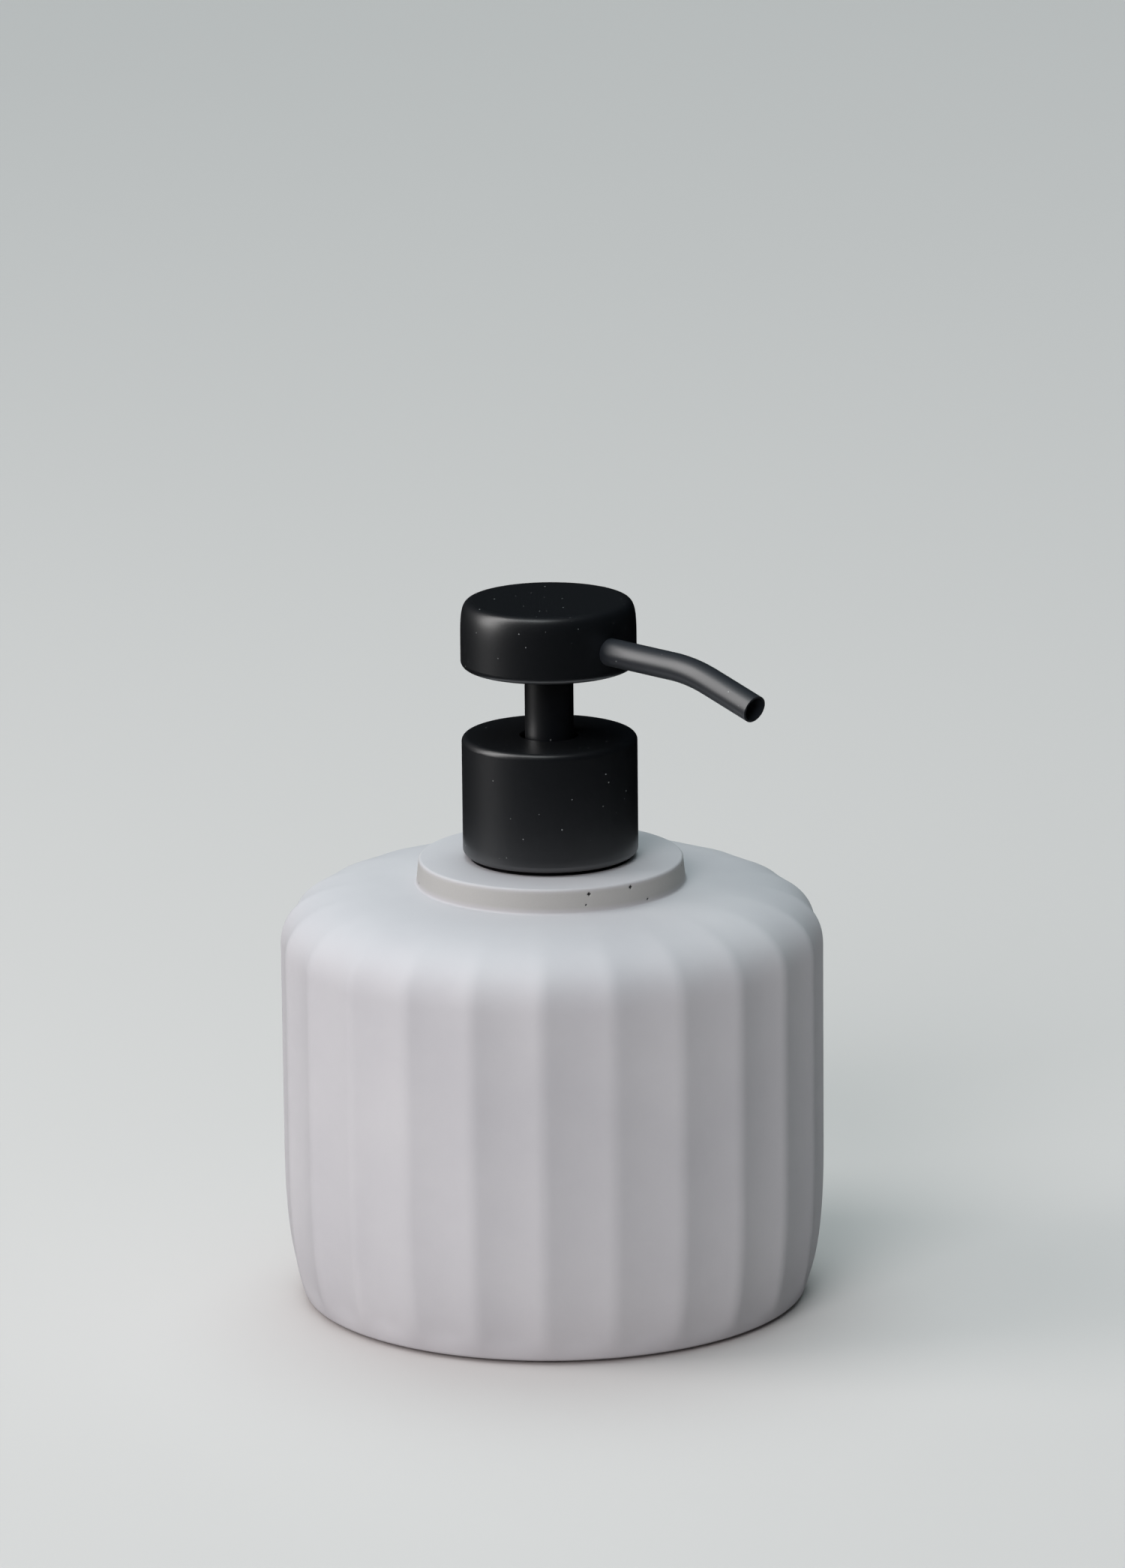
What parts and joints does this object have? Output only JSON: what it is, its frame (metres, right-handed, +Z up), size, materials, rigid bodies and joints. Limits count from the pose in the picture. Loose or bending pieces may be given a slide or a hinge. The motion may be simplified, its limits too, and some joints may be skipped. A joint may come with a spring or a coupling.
{
  "type": "soap pump dispenser",
  "caption": "Squat round soap dispenser: a fluted cast-cement bottle with a rounded shoulder and a neck disc, and a black screw-on hand pump with a disc head and a slim drooping spout.",
  "frame": {"origin": "centre of the foam pad's underside, where the dispenser stands", "axes": "+Z up along the pump, +X the way the spout points at rest, +Y to the left of the spout"},
  "size_m": [0.1014, 0.0982, 0.1287],
  "materials": {
    "cement": "fine cast cement, matte, with small pinholes",
    "black_coat": "fine black powder coat, satin",
    "spout_coat": "smooth black powder coat, satin",
    "base_board": "moulded, fine grain",
    "foam_pad": "closed-cell foam, matte",
    "neck_plastic": "moulded, satin",
    "white_plastic": "moulded polypropylene, satin",
    "black_plastic": "moulded polypropylene, satin",
    "gasket_foam": "expanded polyethylene, matte",
    "piston_plastic": "soft moulded polyethylene, slightly glossy",
    "tube_plastic": "extruded, translucent",
    "seal_rubber": "smooth moulded rubber",
    "spring_steel": "drawn stainless wire",
    "ball_steel": "ground and polished"
  },
  "bodies": {
    "bottle": {"bottle_body": "cement", "base_plate": "base_board", "base_pad": "foam_pad", "neck_insert": "neck_plastic"},
    "pump": {"pump_housing": "white_plastic", "neck_gasket": "gasket_foam", "lock_ring": "black_plastic", "ball_cage": "white_plastic", "dip_tube": "tube_plastic", "return_spring": "spring_steel"},
    "closure": {"closure_cap": "black_plastic", "closure_shroud": "black_coat"},
    "piston": {"piston_seal": "piston_plastic"},
    "head": {"piston_rod": "white_plastic", "piston_seat": "white_plastic", "stem_sleeve": "black_coat", "head_core": "white_plastic", "head_base": "black_plastic", "head_shell": "black_coat", "spout_tube": "spout_coat", "spout_seal": "seal_rubber"},
    "ball": {"inlet_ball": "ball_steel"}
  },
  "joints": [
    {"name": "pump_rise", "type": "slide", "parent": "bottle", "child": "pump", "axis": [0, 0, 1], "range_m": [0, 0.00636]},
    {"name": "closure_turn", "type": "hinge", "parent": "pump", "child": "closure", "pos_m": [0, 0, 0.09], "axis": [0, 0, 1], "range_deg": [0, 540]},
    {"name": "pump_press", "type": "slide", "parent": "pump", "child": "piston", "axis": [0, 0, -1], "range_m": [0, 0.012], "stiffness_N_per_m": 800, "springref_m": -0.004, "deforming": ["return_spring"]},
    {"name": "head_swivel", "type": "hinge", "parent": "piston", "child": "head", "pos_m": [0, 0, 0.11], "axis": [0, 0, 1], "continuous": true},
    {"name": "ball_lift", "type": "slide", "parent": "pump", "child": "ball", "axis": [0, 0, 1], "range_m": [0, 0.0015]}
  ],
  "couplings": [
    {"joint": "pump_rise", "follows": "closure_turn", "m_per_rad": 0.00067376}
  ]
}
